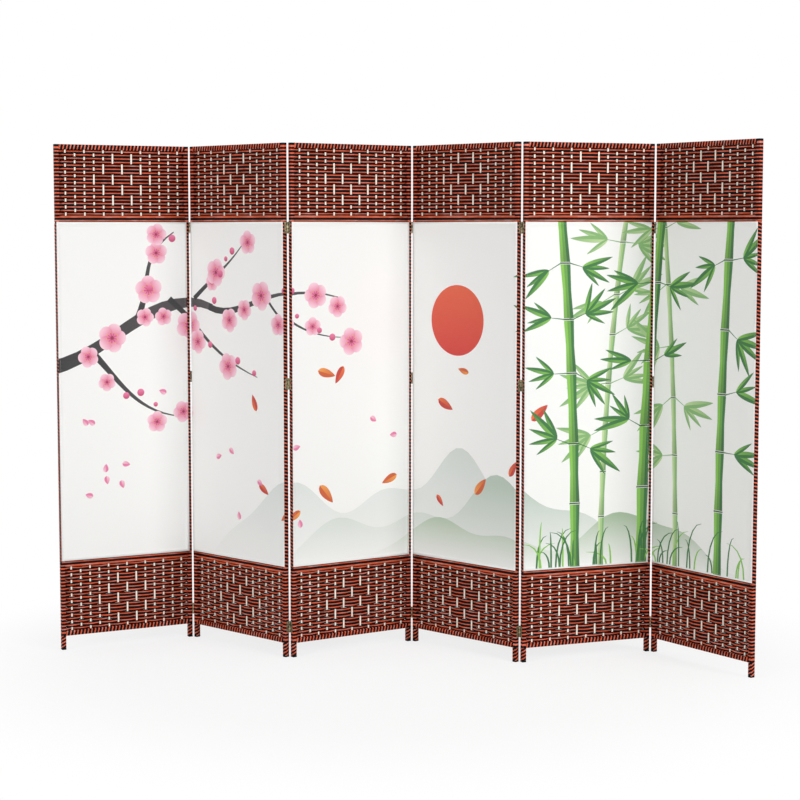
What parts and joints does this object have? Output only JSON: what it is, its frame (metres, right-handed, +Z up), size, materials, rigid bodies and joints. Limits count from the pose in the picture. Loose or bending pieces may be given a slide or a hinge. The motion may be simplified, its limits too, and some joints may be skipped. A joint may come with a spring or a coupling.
{
  "type": "folding screen",
  "caption": "Free-standing folding screen of hinged panels with rope-bound wooden frames, woven top and bottom sections and a stretched printed cloth between them.",
  "frame": {"origin": "on the floor at the middle of the box round the whole screen as it stands in the picture's zigzag", "axes": "+X along the row of panels, from the viewer's left to right; +Y away from the viewer, from the printed front to the back; +Z up"},
  "size_m": [2.411, 0.675, 1.8],
  "materials": {
    "frame_wood": "matte",
    "rope_binding": "satin",
    "woven_rope": "satin",
    "slat_wood": "matte",
    "printed_cloth": "matte",
    "hinge_brass": "satin",
    "pin_steel": "satin"
  },
  "bodies": {
    "panel_1": {"panel_1_left_stile": "frame_wood", "panel_1_right_stile": "frame_wood", "panel_1_rails": "frame_wood", "panel_1_binding": "rope_binding", "panel_1_upper_weave": "woven_rope", "panel_1_lower_weave": "woven_rope", "panel_1_weave_slats": "slat_wood", "panel_1_fabric": "printed_cloth", "panel_1_hinge_leaves": "hinge_brass", "hinge_pins_1_2": "pin_steel"},
    "panel_2": {"panel_2_left_stile": "frame_wood", "panel_2_right_stile": "frame_wood", "panel_2_rails": "frame_wood", "panel_2_binding": "rope_binding", "panel_2_upper_weave": "woven_rope", "panel_2_lower_weave": "woven_rope", "panel_2_weave_slats": "slat_wood", "panel_2_fabric": "printed_cloth", "panel_2_hinge_leaves": "hinge_brass", "hinge_pins_2_3": "pin_steel"},
    "panel_3": {"panel_3_left_stile": "frame_wood", "panel_3_right_stile": "frame_wood", "panel_3_rails": "frame_wood", "panel_3_binding": "rope_binding", "panel_3_upper_weave": "woven_rope", "panel_3_lower_weave": "woven_rope", "panel_3_weave_slats": "slat_wood", "panel_3_fabric": "printed_cloth", "panel_3_hinge_leaves": "hinge_brass", "hinge_pins_3_4": "pin_steel"},
    "panel_4": {"panel_4_left_stile": "frame_wood", "panel_4_right_stile": "frame_wood", "panel_4_rails": "frame_wood", "panel_4_binding": "rope_binding", "panel_4_upper_weave": "woven_rope", "panel_4_lower_weave": "woven_rope", "panel_4_weave_slats": "slat_wood", "panel_4_fabric": "printed_cloth", "panel_4_hinge_leaves": "hinge_brass", "hinge_pins_4_5": "pin_steel"},
    "panel_5": {"panel_5_left_stile": "frame_wood", "panel_5_right_stile": "frame_wood", "panel_5_rails": "frame_wood", "panel_5_binding": "rope_binding", "panel_5_upper_weave": "woven_rope", "panel_5_lower_weave": "woven_rope", "panel_5_weave_slats": "slat_wood", "panel_5_fabric": "printed_cloth", "panel_5_hinge_leaves": "hinge_brass", "hinge_pins_5_6": "pin_steel"},
    "panel_6": {"panel_6_left_stile": "frame_wood", "panel_6_right_stile": "frame_wood", "panel_6_rails": "frame_wood", "panel_6_binding": "rope_binding", "panel_6_upper_weave": "woven_rope", "panel_6_lower_weave": "woven_rope", "panel_6_weave_slats": "slat_wood", "panel_6_fabric": "printed_cloth", "panel_6_hinge_leaves": "hinge_brass"}
  },
  "joints": [
    {"name": "fold_2_3", "type": "hinge", "parent": "panel_3", "child": "panel_2", "pos_m": [-0.3765, -0.01256, 0], "axis": [0, 0, -1], "range_deg": [-77.4, 102.6]},
    {"name": "fold_1_2", "type": "hinge", "parent": "panel_2", "child": "panel_1", "pos_m": [-0.75277, 0.3216, 0], "axis": [0, 0, 1], "range_deg": [-71.6, 108.4]},
    {"name": "fold_3_4", "type": "hinge", "parent": "panel_3", "child": "panel_4", "pos_m": [0.05482, 0.24668, 0], "axis": [0, 0, -1], "range_deg": [-77.8, 102.2]},
    {"name": "fold_4_5", "type": "hinge", "parent": "panel_4", "child": "panel_5", "pos_m": [0.42875, -0.0901, 0], "axis": [0, 0, 1], "range_deg": [-65.7, 114.3]},
    {"name": "fold_5_6", "type": "hinge", "parent": "panel_5", "child": "panel_6", "pos_m": [0.90484, 0.07297, 0], "axis": [0, 0, -1], "range_deg": [-76.6, 103.4]}
  ]
}
